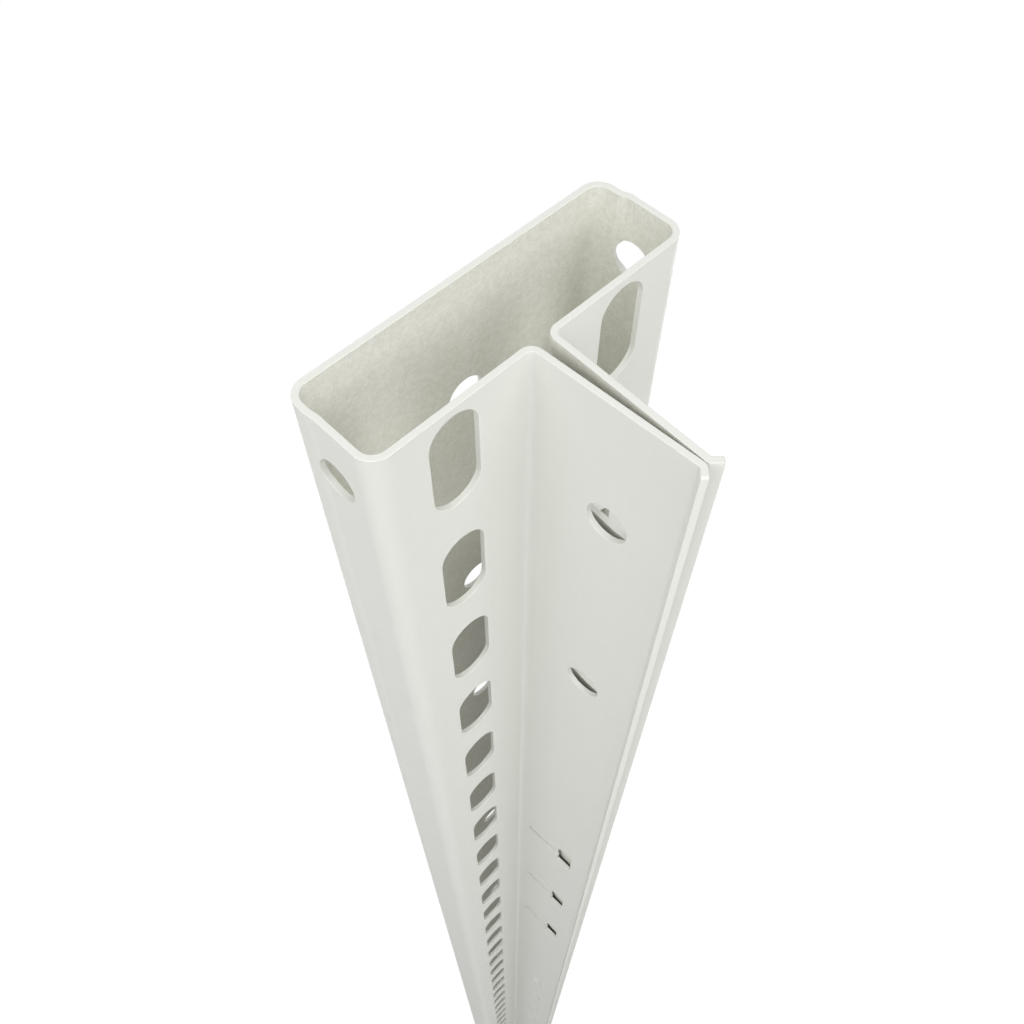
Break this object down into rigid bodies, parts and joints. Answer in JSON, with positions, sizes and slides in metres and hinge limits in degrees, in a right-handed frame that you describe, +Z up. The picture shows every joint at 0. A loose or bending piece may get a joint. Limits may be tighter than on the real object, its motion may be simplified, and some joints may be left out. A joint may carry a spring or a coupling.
{
  "type": "shelf support profile",
  "caption": "Roll-formed shelf support profile: a shallow slotted box with a double stem and flared lips, for hanging shelf brackets at any height.",
  "frame": {"origin": "middle of the enclosing box at the foot end", "axes": "+X across the back wall, +Y from the stem's lips to the back wall, +Z up the profile to the end that the picture shows"},
  "size_m": [0.0508, 0.0396, 1],
  "materials": {
    "painted_steel": "matte off-white stove enamel on cold-rolled steel strip"
  },
  "bodies": {
    "root": {"upright_profile": "painted_steel"}
  },
  "joints": []
}
